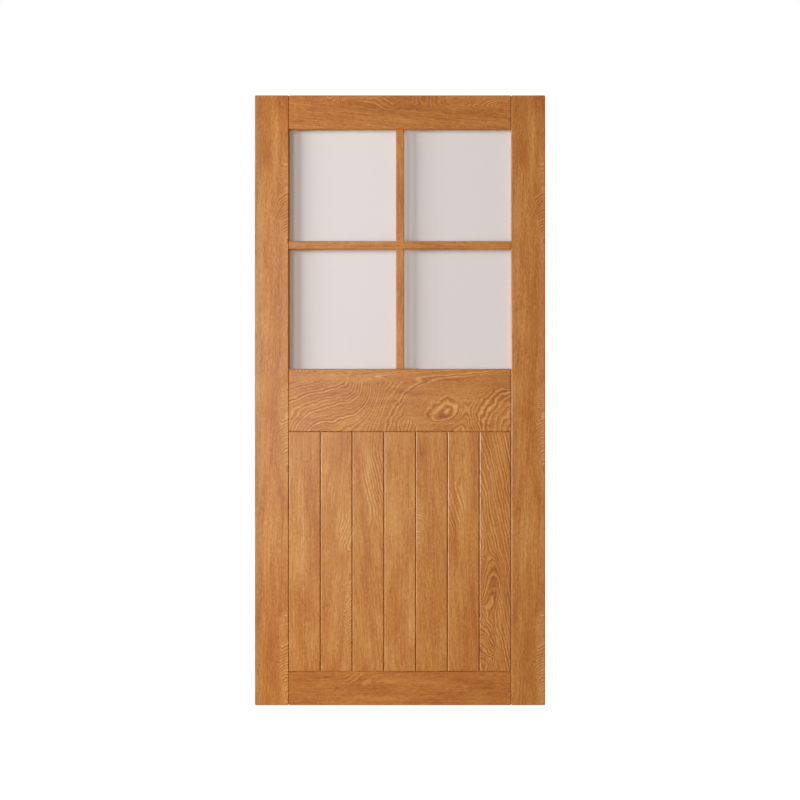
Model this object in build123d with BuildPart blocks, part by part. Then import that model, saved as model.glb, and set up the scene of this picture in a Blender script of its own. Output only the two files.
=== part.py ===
"""Barn door slab: a frosted pane behind a cross of glazing bars above, V-jointed planks below.

Millimetres, +Z up. X runs across the door, the front faces -Y, and the origin is at the middle of
the bottom edge, half way through the thickness.
"""

import os

from build123d import *

# Frame members
door_thickness = 35
stile_width = 119
top_rail_height = 119
mid_rail_height = 220
bottom_rail_height = 119
arris = 3  # bevel on every edge of the frame and planks, which makes the V at each joint

# Fields between the members, up to the edges of the glazing bars
bay_width = 375
upper_bay_height = 391
lower_bay_height = 419
plank_field_height = 838

# Planks
plank_count = 7
plank_gap = 1  # between two planks, and between planks and rails
plank_end_arris = 1.5
tongue_thickness = 10
tongue_length = 10
groove_side_clearance = 0.2
groove_end_clearance = 0.5

# Glazing: one pane in a rebate from the back
front_lip = 15  # wood in front of the rebate
rebate_width = 10
glass_thickness = 4
glass_edge_clearance = 2
tape_thickness = 1
tape_setback = 1  # from the sight line
tape_joint_gap = 0.5  # where two strips butt
setting_block_length = 50
setting_block_inset = 200  # from the sight lines to the middle of a block
bead_arris = 4

# Glazing bars: a flat cross that stands clear in front of the pane
bar_width = 28
bar_thickness = 6
bar_arris = 2
bar_tenon_thickness = 2.5
bar_tenon_width = 16
bar_tenon_length = 8
mortise_side_clearance = 0.1
mortise_end_clearance = 1

# Dowels in the joints of the frame
dowel_diameter = 12
dowel_length = 100
dowel_edge_distance = 35  # from a rail's edges to its outer dowels
dowel_side_clearance = 0.1
dowel_end_clearance = 2

# Headless square pins through the beads
pin_side = 1.2
pin_length = 25
pin_sink = 1
pins_per_bead = 4
pin_inset = 60  # from the ends of a bead's sight line to its outer pins
pin_side_clearance = 0.05
pin_end_clearance = 0.5

# Groove along the bottom edge for a floor guide
guide_groove_width = 7
guide_groove_depth = 17

# Places across the door and through its thickness
inner_edge = bay_width + bar_width / 2
half_width = inner_edge + stile_width
front = -door_thickness / 2
back = door_thickness / 2
shoulder = front + front_lip
glass_front = shoulder + tape_thickness
glass_back = glass_front + glass_thickness
bead_front = glass_back + tape_thickness
bead_depth = back - bead_front
rebate_depth = back - shoulder
rebate_middle = (shoulder + back) / 2
bar_back = front + bar_thickness
halving = front + bar_thickness / 2

# Heights
plank_field_bottom = bottom_rail_height
plank_field_top = plank_field_bottom + plank_field_height
glazing_bottom = plank_field_top + mid_rail_height
bar_bottom = glazing_bottom + lower_bay_height
bar_middle = bar_bottom + bar_width / 2
bar_top = bar_bottom + bar_width
glazing_top = bar_top + upper_bay_height
glazing_height = glazing_top - glazing_bottom
glazing_middle = (glazing_bottom + glazing_top) / 2
door_height = glazing_top + top_rail_height

groove_width = tongue_thickness + 2 * groove_side_clearance
groove_depth = tongue_length + groove_end_clearance
mortise_depth = bar_tenon_length + mortise_end_clearance
tenon_middle = bar_back - bar_tenon_thickness / 2

os.makedirs("parts", exist_ok=True)


def save(piece, label):
    """Label a finished piece and write it under that name."""
    piece.part.label = label
    export_step(piece.part, f"parts/{label}.step")


# Sight line of the glazing, side by side: a plane at the middle of each side, half way into the
# bead's sight face, with its X along the bead, its Y to the back and its Z out into the wood

pin_depth = (bead_front + back - bead_arris) / 2
sight_lines = {
    "left": (Plane((-inner_edge, pin_depth, glazing_middle), (0, 0, 1), (-1, 0, 0)), glazing_height),
    "right": (Plane((inner_edge, pin_depth, glazing_middle), (0, 0, -1), (1, 0, 0)), glazing_height),
    "bottom": (Plane((0, pin_depth, glazing_bottom), (-1, 0, 0), (0, 0, -1)), 2 * inner_edge),
    "top": (Plane((0, pin_depth, glazing_top), (1, 0, 0), (0, 0, 1)), 2 * inner_edge),
}
pin_hole_side = pin_side + 2 * pin_side_clearance
pin_reach = pin_sink + pin_length + pin_end_clearance


def pin_places(side, start=0):
    """Planes of the pins along one side, looking into the wood, from a distance behind the sight line."""
    sight_line, length = sight_lines[side]
    pitch = (length - 2 * pin_inset) / (pins_per_bead - 1)
    along = [(i - (pins_per_bead - 1) / 2) * pitch for i in range(pins_per_bead)]
    return [
        Plane(sight_line.from_local_coords((x, 0, start)), sight_line.x_dir, sight_line.z_dir)
        for x in along
    ]


def bar_mortise(place):
    """The mortise for a bar's tenon, sunk from a plane whose X runs across the bar."""
    with BuildPart(mode=Mode.PRIVATE) as mortise:
        with BuildSketch(place):
            Rectangle(
                bar_tenon_width + 2 * mortise_side_clearance,
                bar_tenon_thickness + 2 * mortise_side_clearance,
            )
        extrude(amount=mortise_depth)
    return mortise.part


# Dowels

def dowel_heights(bottom, height, count):
    """Heights of the dowels in one end of a rail, evenly spaced between the outer two."""
    pitch = (height - 2 * dowel_edge_distance) / (count - 1)
    return [bottom + dowel_edge_distance + i * pitch for i in range(count)]


bottom_rail_dowels = dowel_heights(0, bottom_rail_height, 2)
mid_rail_dowels = dowel_heights(plank_field_top, mid_rail_height, 3)
top_rail_dowels = dowel_heights(glazing_top, top_rail_height, 2)
dowel_hole_radius = dowel_diameter / 2 + dowel_side_clearance
dowel_hole_depth = dowel_length / 2 + dowel_end_clearance

with BuildPart() as rail_dowels:
    dowel_centres = [
        (side * inner_edge, 0, z)
        for side in (-1, 1)
        for z in bottom_rail_dowels + mid_rail_dowels + top_rail_dowels
    ]
    with Locations(*dowel_centres):
        Cylinder(dowel_diameter / 2, dowel_length, rotation=(0, 90, 0))
save(rail_dowels, "rail_dowels")


# Groove for the floor guide, cut through both stiles and the bottom rail

with BuildPart(mode=Mode.PRIVATE) as guide_groove:
    with BuildSketch(Plane.YZ):
        Rectangle(guide_groove_width, guide_groove_depth, align=(Align.CENTER, Align.MIN))
    extrude(amount=half_width, both=True)


# Stiles

def make_stile(name, side):
    """A full-height upright, left or right; side is -1 on the left and 1 on the right."""
    with BuildPart() as stile:
        with BuildSketch():
            with Locations((side * (inner_edge + stile_width / 2), 0)):
                Rectangle(stile_width, door_thickness)
        extrude(amount=door_height)
        chamfer(stile.edges(), arris)
        # Stopped rebate for the pane
        with BuildSketch(Plane.XY.offset(glazing_bottom - rebate_width)):
            with Locations((side * (inner_edge + rebate_width / 2), rebate_middle)):
                Rectangle(rebate_width, rebate_depth)
        extrude(amount=glazing_height + 2 * rebate_width, mode=Mode.SUBTRACT)
        # Stopped groove for the outer plank's tongue
        with BuildSketch(Plane.XY.offset(plank_field_bottom - groove_depth)):
            with Locations((side * (inner_edge + groove_depth / 2), 0)):
                Rectangle(groove_depth, groove_width)
        extrude(amount=plank_field_height + 2 * groove_depth, mode=Mode.SUBTRACT)
        bar_end = Plane((side * inner_edge, tenon_middle, bar_middle), (0, 0, 1), (side, 0, 0))
        add(bar_mortise(bar_end), mode=Mode.SUBTRACT)
        # Dowel holes, drilled from the inner edge
        heights = bottom_rail_dowels + mid_rail_dowels + top_rail_dowels
        with Locations(*[Plane((side * inner_edge, 0, z), z_dir=(-side, 0, 0)) for z in heights]):
            Hole(dowel_hole_radius, depth=dowel_hole_depth)
        with BuildSketch(*pin_places(name)):
            Rectangle(pin_hole_side, pin_hole_side)
        extrude(amount=pin_reach, mode=Mode.SUBTRACT)
        add(guide_groove.part, mode=Mode.SUBTRACT)
    return stile


save(make_stile("left", -1), "left_stile")
save(make_stile("right", 1), "right_stile")


# Rails

def make_rail(bottom, height, heights_of_dowels):
    """A rail blank between the stiles, bevelled all round, with its dowel holes."""
    with BuildPart() as rail:
        with BuildSketch(Plane.YZ):
            with Locations((0, bottom + height / 2)):
                Rectangle(door_thickness, height)
        extrude(amount=inner_edge, both=True)
        chamfer(rail.edges(), arris)
        dowel_planes = [
            Plane((side * inner_edge, 0, z), z_dir=(side, 0, 0))
            for side in (-1, 1)
            for z in heights_of_dowels
        ]
        with Locations(*dowel_planes):
            Hole(dowel_hole_radius, depth=dowel_hole_depth)
    return rail


def rail_cutter(width, height, middle):
    """A groove or rebate along the whole of a rail, from its section's size and middle (y, z)."""
    with BuildPart(mode=Mode.PRIVATE) as cutter:
        with BuildSketch(Plane.YZ):
            with Locations(middle):
                Rectangle(width, height)
        extrude(amount=inner_edge, both=True)
    return cutter.part


with BuildPart() as top_rail:
    add(make_rail(glazing_top, top_rail_height, top_rail_dowels).part)
    add(
        rail_cutter(rebate_depth, rebate_width, (rebate_middle, glazing_top + rebate_width / 2)),
        mode=Mode.SUBTRACT,
    )
    add(bar_mortise(Plane((0, tenon_middle, glazing_top), (1, 0, 0), (0, 0, 1))), mode=Mode.SUBTRACT)
    with BuildSketch(*pin_places("top")):
        Rectangle(pin_hole_side, pin_hole_side)
    extrude(amount=pin_reach, mode=Mode.SUBTRACT)
save(top_rail, "top_rail")

with BuildPart() as mid_rail:
    add(make_rail(plank_field_top, mid_rail_height, mid_rail_dowels).part)
    add(
        rail_cutter(rebate_depth, rebate_width, (rebate_middle, glazing_bottom - rebate_width / 2)),
        mode=Mode.SUBTRACT,
    )
    add(
        rail_cutter(groove_width, groove_depth, (0, plank_field_top + groove_depth / 2)),
        mode=Mode.SUBTRACT,
    )
    add(bar_mortise(Plane((0, tenon_middle, glazing_bottom), (1, 0, 0), (0, 0, -1))), mode=Mode.SUBTRACT)
    with BuildSketch(*pin_places("bottom")):
        Rectangle(pin_hole_side, pin_hole_side)
    extrude(amount=pin_reach, mode=Mode.SUBTRACT)
save(mid_rail, "mid_rail")

with BuildPart() as bottom_rail:
    add(make_rail(0, bottom_rail_height, bottom_rail_dowels).part)
    add(
        rail_cutter(groove_width, groove_depth, (0, plank_field_bottom - groove_depth / 2)),
        mode=Mode.SUBTRACT,
    )
    add(guide_groove.part, mode=Mode.SUBTRACT)
save(bottom_rail, "bottom_rail")


# Planks: each has a groove on its left and a tongue on its right, and the first a tongue on both

plank_pitch = 2 * inner_edge / plank_count
plank_bottom = plank_field_bottom + plank_gap / 2
plank_length = plank_field_height - plank_gap

for i in range(plank_count):
    left = -inner_edge + i * plank_pitch + plank_gap / 2
    right = left + plank_pitch - plank_gap
    first = i == 0
    end_tongue_left = left if first else left + groove_depth
    with BuildPart() as plank:
        with BuildSketch(Plane.XY.offset(plank_bottom)) as section:
            with Locations(((left + right) / 2, 0)):
                Rectangle(right - left, door_thickness)
            chamfer(section.vertices(), arris)
        extrude(amount=plank_length)
        end_edges = plank.edges().filter_by(Axis.X).group_by(Axis.Y)
        chamfer(end_edges[0] + end_edges[-1], plank_end_arris)
        # Side tongues and groove
        with BuildSketch(Plane.XY.offset(plank_bottom)):
            with Locations((right, 0)):
                Rectangle(tongue_length, tongue_thickness, align=(Align.MIN, Align.CENTER))
            if first:
                with Locations((left, 0)):
                    Rectangle(tongue_length, tongue_thickness, align=(Align.MAX, Align.CENTER))
        extrude(amount=plank_length)
        if not first:
            with BuildSketch(Plane.XY.offset(plank_bottom)):
                with Locations((left, 0)):
                    Rectangle(groove_depth, groove_width, align=(Align.MIN, Align.CENTER))
            extrude(amount=plank_length, mode=Mode.SUBTRACT)
        # End tongues, which run through the body
        with BuildSketch(Plane.XY.offset(plank_bottom - tongue_length)):
            with Locations(((end_tongue_left + right) / 2, 0)):
                Rectangle(right - end_tongue_left, tongue_thickness)
        extrude(amount=plank_length + 2 * tongue_length)
    save(plank, f"plank_{i + 1}")


# Glazing bars, halved into each other: the horizontal one runs through in front

def bar_section(plane):
    """A bar's section: its width along the plane's X, its bevelled front towards the plane's -Y."""
    with BuildSketch(plane, mode=Mode.PRIVATE) as section:
        with Locations((0, front)):
            Rectangle(bar_width, bar_thickness, align=(Align.CENTER, Align.MIN))
        chamfer(section.vertices().group_by(Axis.Y)[0], bar_arris)
    return section.sketch


def tenon_section(plane):
    """The stub tenon at the end of a bar, at the back of its thickness."""
    with BuildSketch(plane, mode=Mode.PRIVATE) as section:
        with Locations((0, tenon_middle)):
            Rectangle(bar_tenon_width, bar_tenon_thickness)
    return section.sketch


def level(z):
    """Level plane at a height: X across the door and Y to the back."""
    return Plane.XY.offset(z)


def across(x):
    """Plane across the horizontal bar: X up, Y to the back, looking to the left."""
    return Plane((x, 0, bar_middle), (0, 0, 1), (-1, 0, 0))


with BuildPart() as horizontal_glazing_bar:
    extrude(bar_section(across(inner_edge)), amount=2 * inner_edge)
    # The end bevels, which make a V against the stiles as the frame's own do
    for end in (Axis.X, -Axis.X):
        face = horizontal_glazing_bar.faces().sort_by(end)[-1]
        chamfer(face.edges().group_by(Axis.Y)[0], bar_arris)
    tenon_reach = inner_edge + bar_tenon_length
    extrude(tenon_section(across(tenon_reach)), amount=2 * tenon_reach)
    # Notch from the back for the vertical bar, whose bevels run on across this one
    with BuildSketch(level(bar_bottom)):
        with Locations((0, halving)):
            Rectangle(bar_width, bar_back - halving, align=(Align.CENTER, Align.MIN))
    extrude(amount=bar_width, mode=Mode.SUBTRACT)
    with BuildSketch(level(bar_bottom), mode=Mode.PRIVATE) as crossing:
        add(bar_section(Plane.XY))
        with Locations((0, halving)):
            Rectangle(bar_width, bar_thickness, align=(Align.CENTER, Align.MIN), mode=Mode.SUBTRACT)
    extrude(crossing.sketch, amount=bar_width)
save(horizontal_glazing_bar, "horizontal_glazing_bar")

with BuildPart() as vertical_glazing_bar:
    extrude(bar_section(level(glazing_bottom)), amount=glazing_height)
    for end in (Axis.Z, -Axis.Z):
        face = vertical_glazing_bar.faces().sort_by(end)[-1]
        chamfer(face.edges().group_by(Axis.Y)[0], bar_arris)
    extrude(
        tenon_section(level(glazing_bottom - bar_tenon_length)),
        amount=glazing_height + 2 * bar_tenon_length,
    )
    # Housing in front for the horizontal bar
    with BuildSketch(level(bar_bottom)):
        with Locations((0, front)):
            Rectangle(bar_width, halving - front, align=(Align.CENTER, Align.MIN))
    extrude(amount=bar_width, mode=Mode.SUBTRACT)
save(vertical_glazing_bar, "vertical_glazing_bar")


# Pane, with the tape that it bears on in front and the tape that the beads press on it behind

glass_overlap = rebate_width - glass_edge_clearance
glass_width = 2 * inner_edge + 2 * glass_overlap
glass_height = glazing_height + 2 * glass_overlap
tape_width = glass_overlap - tape_setback


def facing(y):
    """Upright plane at a depth, at the middle of the glazing, looking to the front."""
    return Plane((0, y, glazing_middle), (1, 0, 0), (0, -1, 0))


with BuildPart() as glass_pane:
    with BuildSketch(facing(glass_back)):
        Rectangle(glass_width, glass_height)
    extrude(amount=glass_thickness)
save(glass_pane, "glass_pane")


def glazing_tape(y):
    """Four strips round the edge of the glass, with their backs at a depth."""
    with BuildPart() as tape:
        with BuildSketch(facing(y)):
            with GridLocations(glass_width - tape_width, 0, 2, 1):
                Rectangle(tape_width, glass_height)
            with GridLocations(0, glass_height - tape_width, 1, 2):
                Rectangle(glass_width - 2 * tape_width - 2 * tape_joint_gap, tape_width)
        extrude(amount=tape_thickness)
    return tape


save(glazing_tape(glass_front), "front_glazing_tape")
save(glazing_tape(bead_front), "back_glazing_tape")

with BuildPart() as setting_blocks:
    with BuildSketch(Plane.XY.offset(glazing_bottom - rebate_width)):
        with Locations((0, (glass_front + glass_back) / 2)):
            with GridLocations(2 * (inner_edge - setting_block_inset), 0, 2, 1):
                Rectangle(setting_block_length, glass_thickness)
    extrude(amount=glass_edge_clearance)
save(setting_blocks, "setting_blocks")


# Beads, mitred at their ends and bevelled on their sight edge, and the pins through them

for side, (sight_line, length) in sight_lines.items():
    x, y, z = sight_line.origin
    half = length / 2
    with BuildPart() as bead:
        with BuildSketch(Plane((x, back, z), sight_line.x_dir, (0, -1, 0))):
            with BuildLine():
                Polyline(
                    (-half, 0),
                    (half, 0),
                    (half + rebate_width, rebate_width),
                    (-half - rebate_width, rebate_width),
                    close=True,
                )
            make_face()
        extrude(amount=bead_depth)
        chamfer(bead.edges().sort_by_distance((x, back, z))[0], bead_arris)
        with BuildSketch(*pin_places(side)):
            Rectangle(pin_hole_side, pin_hole_side)
        extrude(amount=rebate_width, mode=Mode.SUBTRACT)
    save(bead, f"{side}_bead")

with BuildPart() as glazing_pins:
    for side in sight_lines:
        with BuildSketch(*pin_places(side, pin_sink)):
            Rectangle(pin_side, pin_side)
        extrude(amount=pin_length)
save(glazing_pins, "glazing_pins")
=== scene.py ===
"""Barn door slab in honey-stained hardwood: a frosted pane behind crossed bars, planks below."""

import math

import bpy
import numpy as np
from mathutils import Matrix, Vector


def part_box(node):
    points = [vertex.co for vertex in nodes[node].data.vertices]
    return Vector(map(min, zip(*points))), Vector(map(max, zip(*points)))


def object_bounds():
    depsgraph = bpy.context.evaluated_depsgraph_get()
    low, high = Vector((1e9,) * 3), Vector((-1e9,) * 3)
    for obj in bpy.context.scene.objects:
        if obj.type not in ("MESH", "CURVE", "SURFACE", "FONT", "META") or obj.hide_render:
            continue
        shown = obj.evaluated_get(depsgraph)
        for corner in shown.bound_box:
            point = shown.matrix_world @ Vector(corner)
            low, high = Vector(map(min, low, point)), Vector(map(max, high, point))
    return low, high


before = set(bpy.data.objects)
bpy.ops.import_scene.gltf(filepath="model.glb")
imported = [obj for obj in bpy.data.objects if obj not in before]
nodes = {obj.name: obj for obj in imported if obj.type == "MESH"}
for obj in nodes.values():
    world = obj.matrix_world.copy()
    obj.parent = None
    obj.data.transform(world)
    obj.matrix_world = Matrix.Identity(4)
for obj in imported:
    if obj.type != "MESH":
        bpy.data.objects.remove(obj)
cad_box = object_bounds()
lowest, highest = cad_box
bpy.context.scene.view_settings.view_transform = "Standard"


# Camera
# A 45 mm lens on a level tripod, square on to the door's face. It stands 3.5 m off the face, where
# its picture is 2.8 m wide there, and that leaves the slab three quarters of the picture's height.

lens = 45
sensor = 36
picture_width = 2.797
rise_over_middle = 0.001
face = lowest.y
middle = (lowest.z + highest.z) / 2

camera_data = bpy.data.cameras.new("studio_camera")
camera_data.lens = lens
camera_data.sensor_width = sensor
camera = bpy.data.objects.new("studio_camera", camera_data)
camera.location = (0, face - picture_width * lens / sensor, middle + rise_over_middle)
camera.rotation_euler = (math.pi / 2, 0, 0)
bpy.context.scene.collection.objects.link(camera)
bpy.context.scene.camera = camera


# Stiles
# Two full-height uprights of a ring-porous hardwood, planed, bevelled on every edge, stained honey
# brown and sprayed with satin lacquer. Along one edge of each the saw has left a curl of hooked rings.

def linear(hex_colour):
    """An sRGB hex colour as the linear RGBA that shaders take."""
    srgb = np.array([int(hex_colour[i:i + 2], 16) for i in (0, 2, 4)]) / 255
    rgb = np.where(srgb <= 0.04045, srgb / 12.92, ((srgb + 0.055) / 1.055) ** 2.4)
    return (*rgb.tolist(), 1)


def add(tree, kind, links=None, **settings):
    """Add a node; links gives each input, by name or number, a socket to join or a value to hold."""
    made = tree.nodes.new(kind)
    for name, value in settings.items():
        setattr(made, name, value)
    for key, value in (links or {}).items():
        if isinstance(value, bpy.types.NodeSocket):
            tree.links.new(value, made.inputs[key])
        else:
            made.inputs[key].default_value = value
    return made


def group(name, inputs, outputs):
    """An empty node group with the named inputs and outputs, and its two end nodes."""
    tree = bpy.data.node_groups.new(name, "ShaderNodeTree")
    for socket, kind in inputs.items():
        tree.interface.new_socket(socket, in_out="INPUT", socket_type=kind)
    for socket in outputs:
        tree.interface.new_socket(socket, in_out="OUTPUT", socket_type="NodeSocketFloat")
    return tree, add(tree, "NodeGroupInput").outputs, add(tree, "NodeGroupOutput").inputs


# The grain of a board, in the board's own metres: X across its face, Y through it, Z along it. Turns
# counts growth rings: the distance from the pith over the ring pitch, with a slow noise that makes them
# waver. Rings 3 mm apart are under a pixel here, so they are drawn 9 mm apart, and fibres and pores are
# drawn coarser than wood has them, as noise drawn out along Z.
ring_pitch = 0.009
pith = (0.22, 0.1, 0)
waver = 0.018  # how far a ring strays from its circle
sways_per_metre = (14, 14, 6)
streaks = {
    # noise layer: width and length of its streaks, and its detail
    "Bands": (0.026, 0.50, 2),
    "Fibres": (0.0046, 0.11, 3),
    "Flecks": (0.0065, 0.016, 3),
    "Pores": (0.0018, 0.008, 1),
    "Clouds": (0.046, 0.200, 3),
}

grain, given, result = group("board_grain", {"Board": "NodeSocketVector", "Seed": "NodeSocketFloat"},
                             ["Turns", *streaks])
sown = add(grain, "ShaderNodeVectorMath", {0: given["Board"], 1: given["Seed"]}, operation="ADD").outputs[0]
slow = add(grain, "ShaderNodeVectorMath", {0: sown, 1: sways_per_metre}, operation="MULTIPLY")
sway = add(grain, "ShaderNodeTexNoise", {"Vector": slow.outputs[0], "Scale": 1, "Detail": 2})
centred = add(grain, "ShaderNodeVectorMath", {0: sway.outputs["Color"], 1: (0.5, 0.5, 0.5)},
              operation="SUBTRACT")
swayed = add(grain, "ShaderNodeVectorMath", {0: centred.outputs[0], "Scale": waver}, operation="SCALE")
from_pith = add(grain, "ShaderNodeVectorMath", {0: given["Board"], 1: pith}, operation="SUBTRACT")
wavered = add(grain, "ShaderNodeVectorMath", {0: from_pith.outputs[0], 1: swayed.outputs[0]}, operation="ADD")
section = add(grain, "ShaderNodeVectorMath", {0: wavered.outputs[0], 1: (1, 1, 0)}, operation="MULTIPLY")
radius = add(grain, "ShaderNodeVectorMath", {0: section.outputs[0]}, operation="LENGTH")
turns = add(grain, "ShaderNodeMath", {0: radius.outputs["Value"], 1: ring_pitch}, operation="DIVIDE")
grain.links.new(turns.outputs[0], result["Turns"])
along_grain = add(grain, "ShaderNodeVectorMath", {0: sown, 1: swayed.outputs[0]}, operation="ADD").outputs[0]
for output, (width, length, detail) in streaks.items():
    drawn_out = add(grain, "ShaderNodeVectorMath", {0: along_grain, 1: (1 / width, 1 / width, 1 / length)},
                    operation="MULTIPLY")
    streak = add(grain, "ShaderNodeTexNoise", {"Vector": drawn_out.outputs[0], "Scale": 1, "Detail": detail})
    grain.links.new(streak.outputs["Fac"], result[output])

# Figure, where the saw runs out through the rings and they show as a nest of curves: inside Reach of
# Centre the count of turns goes over to another one, through the whole thickness. Hooks count a parabola
# repeated along the grain, along + Slant times across + Bend times across squared. Rings count a distance
# from Focus, the root of Bend times across squared + the square of along + Slant times across. Either is
# divided by Pitch and counted from Start, and places are in the board's own metres. Calm is the weight of
# the straight fibres, which falls inside a patch.
plain_grain = 0.5
curled = 0.1
fade_starts = 0.45  # a patch fades out from this share of its reach
wobbles_per_metre = 26
figure_inputs = {
    "Board": "NodeSocketVector",
    "Turns": "NodeSocketFloat",
    "Calm": "NodeSocketFloat",
    "Centre": "NodeSocketVector",
    "Reach": "NodeSocketVector",
    "Focus": "NodeSocketVector",
    "Bend": "NodeSocketFloat",
    "Slant": "NodeSocketFloat",
    "Pitch": "NodeSocketFloat",
    "Start": "NodeSocketFloat",
    "Waver": "NodeSocketFloat",
}


def figure_group(name, ringed):
    """A patch of figure, as hooks or, if ringed, as rings about a focus."""
    tree, given, result = group(name, figure_inputs, ["Turns", "Calm"])
    offset = add(tree, "ShaderNodeVectorMath", {0: given["Board"], 1: given["Focus"]}, operation="SUBTRACT")
    part = add(tree, "ShaderNodeSeparateXYZ", {0: offset.outputs[0]})
    across, along = part.outputs["X"], part.outputs["Z"]
    square = add(tree, "ShaderNodeMath", {0: across, 1: across}, operation="MULTIPLY")
    slanted = add(tree, "ShaderNodeMath", {0: across, 1: given["Slant"], 2: along}, operation="MULTIPLY_ADD")
    if ringed:
        slant_squared = add(tree, "ShaderNodeMath", {0: slanted.outputs[0], 1: slanted.outputs[0]},
                            operation="MULTIPLY")
        both = add(tree, "ShaderNodeMath", {0: square.outputs[0], 1: given["Bend"],
                                            2: slant_squared.outputs[0]}, operation="MULTIPLY_ADD")
        run = add(tree, "ShaderNodeMath", {0: both.outputs[0]}, operation="SQRT")
    else:
        run = add(tree, "ShaderNodeMath", {0: square.outputs[0], 1: given["Bend"], 2: slanted.outputs[0]},
                  operation="MULTIPLY_ADD")
    noise = add(tree, "ShaderNodeTexNoise", {"Vector": given["Board"], "Scale": wobbles_per_metre,
                                             "Detail": 1})
    shift = add(tree, "ShaderNodeMath", {0: noise.outputs["Fac"], 1: given["Waver"], 2: run.outputs[0]},
                operation="MULTIPLY_ADD")
    turns = add(tree, "ShaderNodeMath", {0: shift.outputs[0], 1: given["Pitch"]}, operation="DIVIDE")
    counted = add(tree, "ShaderNodeMath", {0: turns.outputs[0], 1: given["Start"]}, operation="ADD")
    away = add(tree, "ShaderNodeVectorMath", {0: given["Board"], 1: given["Centre"]}, operation="SUBTRACT")
    share = add(tree, "ShaderNodeVectorMath", {0: away.outputs[0], 1: given["Reach"]}, operation="DIVIDE")
    distance = add(tree, "ShaderNodeVectorMath", {0: share.outputs[0]}, operation="LENGTH")
    cover = add(tree, "ShaderNodeMapRange", {"Value": distance.outputs["Value"], "From Min": fade_starts,
                                             "From Max": 1, "To Min": 1, "To Max": 0},
                interpolation_type="SMOOTHSTEP").outputs[0]
    mixed = add(tree, "ShaderNodeMix", {"Factor": cover, "A": given["Turns"], "B": counted.outputs[0]})
    stilled = add(tree, "ShaderNodeMix", {"Factor": cover, "A": given["Calm"], "B": curled})
    tree.links.new(mixed.outputs["Result"], result["Turns"])
    tree.links.new(stilled.outputs["Result"], result["Calm"])
    return tree


hooks = figure_group("hooked_figure", ringed=False)
rings = figure_group("ringed_figure", ringed=True)
covered_reach = 0.7  # up to this share of its reach a patch outweighs what lies under it


def patch_turns(kind, settings, place):
    """Turns that a patch of figure counts at a place on its board, without their waver."""
    across, _, along = np.subtract(place, settings.get("Focus", (0, 0, 0)))
    slanted = along + settings.get("Slant", 0) * across
    bent = settings.get("Bend", 0) * across ** 2
    run = math.sqrt(bent + slanted ** 2) if kind == rings else bent + slanted
    return run / settings["Pitch"] + settings.get("Start", 0)


def turns_at(place, patches):
    """Turns counted at a place on a board, by the last patch that takes it in or by the straight grain."""
    for kind, settings in reversed(patches):
        away = np.divide(np.subtract(place, settings.get("Centre", (0, 0, 0))), settings["Reach"])
        if np.linalg.norm(away) < covered_reach:
            return patch_turns(kind, settings, place)
    return math.hypot(place[0] - pith[0], pith[1]) / ring_pitch


# Honey stain under satin lacquer, from where it lies deepest to where it is thinnest. Late wood takes more
# of it, so the growth lines are dark, boldest in the curls, and the other streaks only shade them. The
# lacquer sinks a little into pores and lines, and the pores stay duller than the film.
stain = [(0.0, "8c4207"), (0.25, "a55912"), (0.5, "b97328"), (0.75, "cb8b44"), (1.0, "dca664")]
lines_per_turn = 1.9
plain_lines = 0.32
curled_lines = 0.9
curled_waves = 0.13
shading = {"Bands": 0.4, "Flecks": 0.55, "Pores": 0.45, "Clouds": 0.66}
pore_roughness = 0.42
film_roughness = 0.32
relief_depth = 0.0003
relief_strength = 0.25


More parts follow.
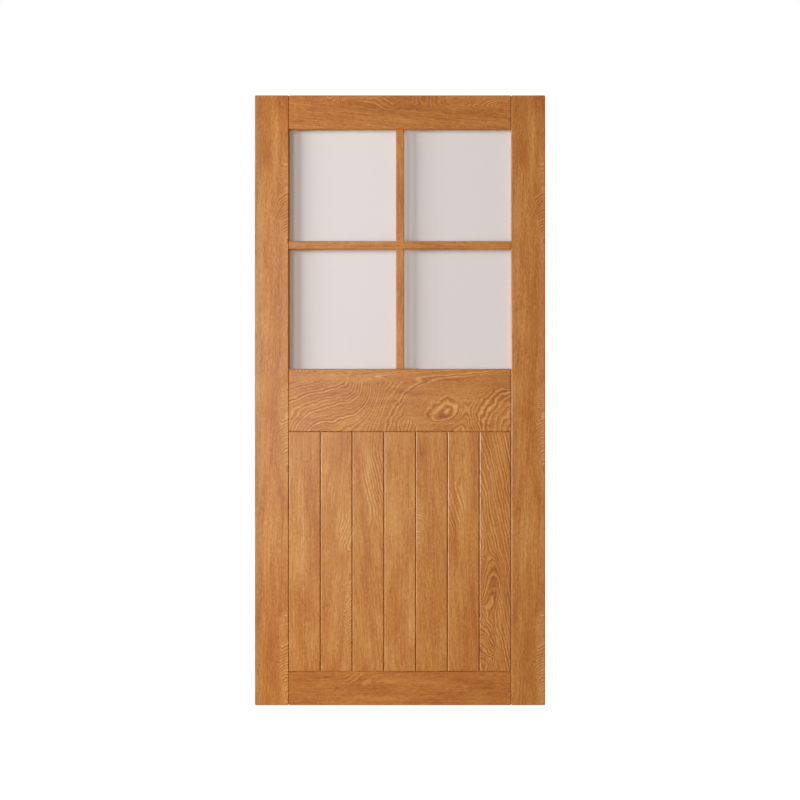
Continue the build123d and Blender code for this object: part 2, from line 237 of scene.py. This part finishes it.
def hardwood(name, centre, seed, turned=False, lean=0, tone_and_painted_shade=0, paleness=0, figures=()):
    """Stained and lacquered board, its grain upright, or along X if turned, leaning by an angle. Its tone
    lightens or darkens it all. That is the board's own tone, and on the top and bottom rails also painted
    shade. Paleness lightens its curls."""
    material = bpy.data.materials.new(name)
    material.use_nodes = True
    tree = material.node_tree
    tree.nodes.clear()
    place = add(tree, "ShaderNodeTexCoord").outputs["Object"]
    moved = add(tree, "ShaderNodeVectorMath", {0: place, 1: centre}, operation="SUBTRACT").outputs[0]
    quarter = -math.pi / 2 * turned
    laid = add(tree, "ShaderNodeMapping", {"Vector": moved, "Rotation": (0, quarter, 0)}).outputs[0]
    leaning = add(tree, "ShaderNodeMapping", {"Vector": laid, "Rotation": (0, lean, 0)}).outputs[0]
    straight = add(tree, "ShaderNodeGroup", {"Board": leaning, "Seed": seed}, node_tree=grain).outputs
    turns = straight["Turns"]
    calm = plain_grain
    patches = []
    for kind, settings in figures:
        heart = settings.get("Centre", (0, 0, 0))
        level_start = turns_at(heart, patches) - patch_turns(kind, settings, heart)
        patches.append((kind, {"Start": level_start, **settings}))
        patch = add(tree, "ShaderNodeGroup", {"Board": laid, "Turns": turns, "Calm": calm, **patches[-1][1]},
                    node_tree=kind)
        turns = patch.outputs["Turns"]
        calm = patch.outputs["Calm"]
    lines = add(tree, "ShaderNodeTexNoise", {"W": turns, "Scale": lines_per_turn, "Detail": 2,
                                             "Roughness": 0.55}, noise_dimensions="1D").outputs["Fac"]
    bold = add(tree, "ShaderNodeMapRange", {"Value": calm, "From Min": curled, "From Max": plain_grain,
                                            "To Min": curled_lines, "To Max": plain_lines}).outputs[0]
    even = add(tree, "ShaderNodeMapRange", {"Value": calm, "From Min": curled, "From Max": plain_grain,
                                            "To Min": curled_waves, "To Max": 0}).outputs[0]
    angle = add(tree, "ShaderNodeMath", {0: turns, 1: 2 * math.pi}, operation="MULTIPLY").outputs[0]
    wave = add(tree, "ShaderNodeMath", {0: angle}, operation="SINE").outputs[0]
    raised = add(tree, "ShaderNodeMath", {0: wave, 1: paleness}, operation="ADD").outputs[0]
    value = add(tree, "ShaderNodeMath", {0: raised, 1: even, 2: 0.5 + tone_and_painted_shade},
                operation="MULTIPLY_ADD").outputs[0]
    weighted = [(lines, bold), (straight["Fibres"], calm)]
    weighted += [(straight[layer], weight) for layer, weight in shading.items()]
    for part, weight in weighted:
        around_none = add(tree, "ShaderNodeMath", {0: part, 1: 0.5}, operation="SUBTRACT")
        value = add(tree, "ShaderNodeMath", {0: around_none.outputs[0], 1: weight, 2: value},
                    operation="MULTIPLY_ADD").outputs[0]
    colours = add(tree, "ShaderNodeValToRGB", {"Fac": value})
    stops = colours.color_ramp.elements
    for at, colour in stain[1:-1]:
        stops.new(at)
    for stop, (at, colour) in zip(stops, stain):
        stop.position = at
        stop.color = linear(colour)
    sheen = add(tree, "ShaderNodeMapRange", {"Value": straight["Pores"], "To Min": pore_roughness,
                                             "To Max": film_roughness})
    relief = add(tree, "ShaderNodeMath", {0: straight["Pores"], 1: lines}, operation="ADD")
    bump = add(tree, "ShaderNodeBump", {"Height": relief.outputs[0], "Strength": relief_strength,
                                        "Distance": relief_depth})
    shader = add(tree, "ShaderNodeBsdfPrincipled", {"Base Color": colours.outputs["Color"],
                                                    "Roughness": sheen.outputs[0],
                                                    "Normal": bump.outputs["Normal"]})
    add(tree, "ShaderNodeOutputMaterial", {"Surface": shader.outputs[0]})
    return material


def dress(names, material):
    """Give CAD pieces one finish."""
    for name in names:
        mesh = nodes[name].data
        mesh.materials.clear()
        mesh.materials.append(material)


def middle_of(name):
    """The middle of a CAD piece's box."""
    low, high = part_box(name)
    return tuple((low + high) / 2)


# The curl shows three times: hooks that rise to the stile's right edge, fanned out at their top
first_curl = 0.131
curl_spacing = 0.789
for name in ("left_stile", "right_stile"):
    centre = middle_of(name)
    curls = []
    for i in range(3):
        up = first_curl + curl_spacing * i - centre[2]
        curls.append((hooks, {"Centre": (0.054, 0, up + 0.02), "Reach": (0.044, 1, 0.20),
                              "Focus": (0.060, 0, up), "Bend": 21, "Pitch": 0.0115, "Waver": 0.02}))
        curls.append((hooks, {"Centre": (0.050, 0, up + 0.150), "Reach": (0.036, 1, 0.07),
                              "Focus": (0.060, 0, up), "Bend": 9, "Pitch": 0.0075, "Waver": 0.012}))
    dress([name], hardwood(f"honey_stained_{name}", centre, seed=1.7, lean=-0.03, figures=curls, paleness=1))


# Rails
# Three cross members of the same wood, dowelled between the stiles. The middle one is the widest and
# was sawn beside a branch, so its rings swing round an eye near its right end.

top_figure = [
    (hooks, {"Centre": (-0.038, 0, 0.290), "Reach": (0.032, 1, 0.130), "Focus": (-0.060, 0, 0), "Slant": 2.5,
             "Bend": -12, "Pitch": -0.016, "Waver": 0.03}),
    (rings, {"Centre": (-0.028, 0, -0.077), "Reach": (0.038, 1, 0.090), "Focus": (0.132, 0, -0.157),
             "Bend": 1, "Pitch": 0.014, "Waver": 0.02}),
    (rings, {"Centre": (-0.045, 0, 0.110), "Reach": (0.040, 1, 0.120), "Focus": (-0.060, 0, 0.084),
             "Bend": 0.15, "Pitch": 0.014, "Waver": 0.02}),
    (rings, {"Centre": (-0.045, 0, -0.235), "Reach": (0.026, 1, 0.080), "Focus": (-0.078, 0, -0.245),
             "Bend": 0.2, "Pitch": 0.009, "Waver": 0.02}),
]
mid_figure = [
    (rings, {"Reach": (0.9, 1, 1.8), "Focus": (0.139, 0, 0.175), "Bend": 1, "Pitch": 0.014,
             "Waver": 0.025}),
    (hooks, {"Centre": (0.010, 0, -0.290), "Reach": (0.190, 1, 0.250), "Slant": 3.7, "Pitch": -0.044,
             "Waver": 0.08}),
    (rings, {"Centre": (0.097, 0, -0.330), "Reach": (0.090, 1, 0.130), "Focus": (0.139, 0, -0.262), "Bend": 1,
             "Pitch": 0.0105, "Waver": 0.015}),
    (rings, {"Centre": (0.040, 0, 0.340), "Reach": (0.170, 1, 0.170), "Focus": (0.139, 0, 0.420),
             "Bend": 0.53, "Start": -1.4, "Pitch": 0.0175, "Waver": 0.04}),
    (rings, {"Centre": (0.025, 0, 0.140), "Reach": (0.095, 1, 0.130), "Focus": (0.042, 0, 0.160), "Bend": 1.3,
             "Slant": 0.7, "Start": 6.5, "Pitch": 0.045, "Waver": 0.08}),
    (hooks, {"Centre": (-0.105, 0, 0), "Reach": (0.045, 1, 0.600), "Slant": 12, "Pitch": -0.1,
             "Waver": 0.1}),
]
bottom_figure = [
    (hooks, {"Centre": (-0.035, 0, -0.147), "Reach": (0.036, 1, 0.080), "Slant": 1.5, "Pitch": -0.024,
             "Waver": 0.02}),
]
# The tone darkens the top and bottom rails. This is partly their own tone and partly painted shade, for light
# that falls off towards the door's top and bottom.
for name, seed, lean, tone_and_painted_shade, figures in (
    ("top_rail", 2.3, -0.1, -0.07, top_figure),
    ("mid_rail", 3.1, 0, 0.01, mid_figure),
    ("bottom_rail", 4.9, 0, -0.08, bottom_figure),
):
    dress([name], hardwood(f"honey_stained_{name}", middle_of(name), seed, turned=True, lean=lean, tone_and_painted_shade=tone_and_painted_shade,
                           figures=figures))


# Planks
# Seven tongued and grooved planks between the rails, bevelled to a V where they meet. Each was cut
# from another board, so each has its own grain.

plank_looks = {
    # plank: lean of its grain, its tone, and the paleness of its curls
    1: (0, 0.05, 0),
    2: (-0.08, 0.04, 1),
    3: (0.08, 0.03, 0.3),
    4: (0, 0.08, 1),
    5: (0.03, 0.04, 1),
    6: (0.06, 0.04, 0.5),
    7: (-0.05, -0.01, -0.3),
}
plank_figures = {
    2: [(hooks, {"Centre": (0.044, 0, -0.22), "Reach": (0.034, 1, 0.24), "Focus": (0.055, 0, 0), "Bend": 25,
                 "Pitch": 0.0105, "Waver": 0.02}),
        (hooks, {"Centre": (0.030, 0, 0.06), "Reach": (0.040, 1, 0.09), "Slant": -2.5, "Pitch": 0.028,
                 "Waver": 0.02})],
    3: [(hooks, {"Centre": (0.020, 0, 0.24), "Reach": (0.060, 1, 0.20), "Slant": 4, "Pitch": -0.040,
                 "Waver": 0.04})],
    4: [(hooks, {"Centre": (0.052, 0, 0.12), "Reach": (0.014, 1, 0.30), "Focus": (0.055, 0, 0), "Bend": 40,
                 "Pitch": 0.010, "Waver": 0.02})],
    5: [(hooks, {"Centre": (-0.048, 0, 0.10), "Reach": (0.024, 1, 0.14), "Focus": (-0.055, 0, 0), "Bend": 30,
                 "Pitch": -0.009, "Waver": 0.02})],
    6: [(hooks, {"Centre": (-0.045, 0, 0.155), "Reach": (0.060, 1, 0.14), "Slant": 3, "Pitch": -0.036,
                 "Waver": 0.03})],
    7: [(hooks, {"Reach": (0.2, 1, 1.2), "Slant": 4.5, "Pitch": 0.048, "Waver": 0.04}),
        (hooks, {"Centre": (-0.050, 0, 0.320), "Reach": (0.050, 1, 0.22), "Slant": 3.5, "Bend": 10,
                 "Pitch": 0.036, "Waver": 0.04}),
        (hooks, {"Centre": (-0.030, 0, -0.100), "Reach": (0.080, 1, 0.13), "Focus": (-0.011, 0, 0),
                 "Bend": 71, "Pitch": 0.040, "Waver": 0.04}),
        (hooks, {"Centre": (-0.035, 0, -0.330), "Reach": (0.070, 1, 0.14), "Focus": (-0.055, 0, 0),
                 "Bend": 24, "Start": 31, "Pitch": 0.018, "Waver": 0.07})],
}
seed_step = 0.83
for i, (lean, tone_and_painted_shade, paleness) in plank_looks.items():
    name = f"plank_{i}"
    dress([name], hardwood(f"honey_stained_{name}", middle_of(name), seed=5 + seed_step * i, lean=lean,
                           tone_and_painted_shade=tone_and_painted_shade, paleness=paleness, figures=plank_figures.get(i, ())))


# Glazing bars
# A flat cross of the same wood, halved together at its middle and tenoned into stiles and rails. It stands
# clear in front of the pane and divides it into four to the eye.

dress(["vertical_glazing_bar"],
      hardwood("honey_stained_upright_bar", middle_of("vertical_glazing_bar"), seed=12.2))
dress(["horizontal_glazing_bar"],
      hardwood("honey_stained_level_bar", middle_of("horizontal_glazing_bar"), seed=13.4, turned=True))


# Dowels
# Turned beech pins, glued across the joints of rails and stiles. They stay hidden in the wood, so they
# are drawn in the finish of the frame.

dress(["rail_dowels"], hardwood("beech_dowels", middle_of("rail_dowels"), seed=14.8, turned=True))


# Pane
# Float glass with its front etched to a satin by acid, which leaves it white and without a mirror
# image. It lies in foam tape on both faces and stands on two rubber blocks. The cut cells of the foam
# and the moulded rubber are matt and nearly black.

specks_per_metre = 900


def plain(name, colours, roughness):
    """A material of two close colours, mixed in specks of about a millimetre."""
    material = bpy.data.materials.new(name)
    material.use_nodes = True
    tree = material.node_tree
    shader = tree.nodes["Principled BSDF"]
    place = add(tree, "ShaderNodeTexCoord").outputs["Object"]
    noise = add(tree, "ShaderNodeTexNoise", {"Vector": place, "Scale": specks_per_metre, "Detail": 2})
    tint = add(tree, "ShaderNodeMix", {"Factor": noise.outputs["Fac"], "A": linear(colours[0]),
                                       "B": linear(colours[1])}, data_type="RGBA")
    tree.links.new(tint.outputs["Result"], shader.inputs["Base Color"])
    shader.inputs["Roughness"].default_value = roughness
    return material


dress(["glass_pane"], plain("satin_etched_glass", ("e3dbd7", "e7dfdb"), roughness=0.55))
dress(["front_glazing_tape", "back_glazing_tape"],
      plain("closed_cell_foam_tape", ("2a2724", "332f2b"), roughness=0.9))
dress(["setting_blocks"], plain("setting_block_rubber", ("1c1c1c", "242424"), roughness=0.8))


# Beads
# Four mitred strips of the same wood that hold the pane from the back, each pinned with four headless
# square pins. These are drawn from steel, pale grey with a soft gleam.

for name, seed, turned in (
    ("left_bead", 16.1, False),
    ("right_bead", 16.1, False),
    ("top_bead", 17.6, True),
    ("bottom_bead", 17.6, True),
):
    dress([name], hardwood(f"honey_stained_{name}", middle_of(name), seed, turned))
dress(["glazing_pins"], plain("drawn_steel_pins", ("b8b8b8", "a4a4a4"), roughness=0.35))


# Studio
# A pale floor and a white surround, seen as plain white, which give weak light from all round. Softboxes
# stand far off on the left, in front and behind.

def seen_white(tree):
    """One where a ray comes from the camera, a reflection or a refraction, and nought elsewhere."""
    path = add(tree, "ShaderNodeLightPath").outputs
    either = add(tree, "ShaderNodeMath", {0: path["Is Camera Ray"], 1: path["Is Glossy Ray"]},
                 operation="MAXIMUM")
    return add(tree, "ShaderNodeMath", {0: either.outputs[0], 1: path["Is Transmission Ray"]},
               operation="MAXIMUM").outputs[0]


floor_reach = 40
floor_mesh = bpy.data.meshes.new("studio_floor")
corners = [(-floor_reach, -floor_reach, 0), (floor_reach, -floor_reach, 0), (floor_reach, floor_reach, 0),
           (-floor_reach, floor_reach, 0)]
floor_mesh.from_pydata(corners, [], [(0, 1, 2, 3)])
floor = bpy.data.objects.new("studio_floor", floor_mesh)
bpy.context.scene.collection.objects.link(floor)

floor_grey = 0.2
floor_glow = 1.2
glow_share = 0.85
floor_paint = bpy.data.materials.new("white_floor_paint")
floor_paint.use_nodes = True
tree = floor_paint.node_tree
tree.nodes.clear()
matt = add(tree, "ShaderNodeBsdfDiffuse", {"Color": (floor_grey, floor_grey, floor_grey, 1)})
glow = add(tree, "ShaderNodeEmission", {"Color": (1, 1, 1, 1), "Strength": floor_glow})
seen = add(tree, "ShaderNodeMath", {0: seen_white(tree), 1: glow_share}, operation="MULTIPLY")
both = add(tree, "ShaderNodeMixShader", {0: seen.outputs[0], 1: matt.outputs[0], 2: glow.outputs[0]})
add(tree, "ShaderNodeOutputMaterial", {0: both.outputs[0]})
floor_mesh.materials.append(floor_paint)

ambient = 0.14
world = bpy.data.worlds.new("white_studio")
world.use_nodes = True
bpy.context.scene.world = world
tree = world.node_tree
tree.nodes.clear()
level = add(tree, "ShaderNodeMapRange", {"Value": seen_white(tree), "To Min": ambient, "To Max": 1})
surround = add(tree, "ShaderNodeBackground", {"Color": (1, 1, 1, 1), "Strength": level.outputs[0]})
add(tree, "ShaderNodeOutputWorld", {0: surround.outputs[0]})


def softbox(name, place, aim, size, power, colour=(1, 1, 1)):
    """A flat rectangular lamp that faces a point; its size is its width and its height."""
    data = bpy.data.lights.new(name, "AREA")
    data.shape = "RECTANGLE"
    data.size, data.size_y = size
    data.energy = power
    data.color = colour
    lamp = bpy.data.objects.new(name, data)
    away = np.subtract(place, aim)
    lamp.location = place
    lamp.rotation_euler = (math.atan2(math.hypot(away[0], away[1]), away[2]), 0,
                           math.atan2(away[1], away[0]) + math.pi / 2)
    bpy.context.scene.collection.objects.link(lamp)
    return lamp


def lights_only(lamp, pieces):
    """Keep a lamp's light to some pieces."""
    receivers = bpy.data.collections.new(f"{lamp.name}_receivers")
    for piece in pieces:
        receivers.objects.link(piece)
    lamp.light_linking.receiver_collection = receivers


# The pane lies behind the face of its frame. Lamps low to it on the left shade it softly along the frame,
# and they light the pane alone, since they would burn out each wooden edge that faces them. They are a
# little cool, and a warm one in front fills their shade with the brown that the wood throws back.
pane = nodes["glass_pane"]
cool = (0.955, 1.015, 1.075)
warm = (1, 0.78, 0.62)
for name, place, power in (
    ("grazing_panel", (-8.4, -1.03, 0.5), 1400),
    ("raised_panel", (-7.6, -2.2, 3.0), 670),
    ("high_panel", (-5.0, -3.8, 4.0), 135),
):
    lamp = softbox(name, place, aim=(0, 0, 1.05), size=(1.3, 2.7), power=power, colour=cool)
    lights_only(lamp, [pane])

# The wood has a key lamp of its own, and two strips that are seen only in the lacquer, where they draw a
# light line along the left edge of each plank and of the right stile
wood = [piece for piece in nodes.values() if piece != pane]
key = softbox("left_key_softbox", (-5.5, -4.6, 0.8), aim=(0, 0, 0.9), size=(1.4, 1.8), power=480)
lights_only(key, [floor, *wood])
planks = [piece for name, piece in nodes.items() if name.startswith("plank_")]
for name, height, length, power, pieces in (
    ("plank_gleam_strip", 1.0, 2.4, 800, planks),
    ("stile_gleam_strip", 0.55, 0.9, 340, [nodes["right_stile"]]),
):
    gleam = softbox(name, (-5.7, -1.7, height), aim=(0, 0, height), size=(0.7, length), power=power)
    gleam.visible_diffuse = False
    lights_only(gleam, pieces)

# A weak lamp near the camera, white on the wood and warm on the pane, and one for the back
for name, colour, pieces in (
    ("front_left_softbox", (1, 1, 1), [floor, *wood]),
    ("warm_softbox", warm, [pane]),
):
    lamp = softbox(name, (-0.85, -3.7, 1.3), aim=(0, 0, 1.0), size=(1.3, 2.2), power=31, colour=colour)
    lights_only(lamp, pieces)
softbox("back_softbox", (1.6, 3.8, 1.6), aim=(0, 0, 1.05), size=(1.6, 1.6), power=80)
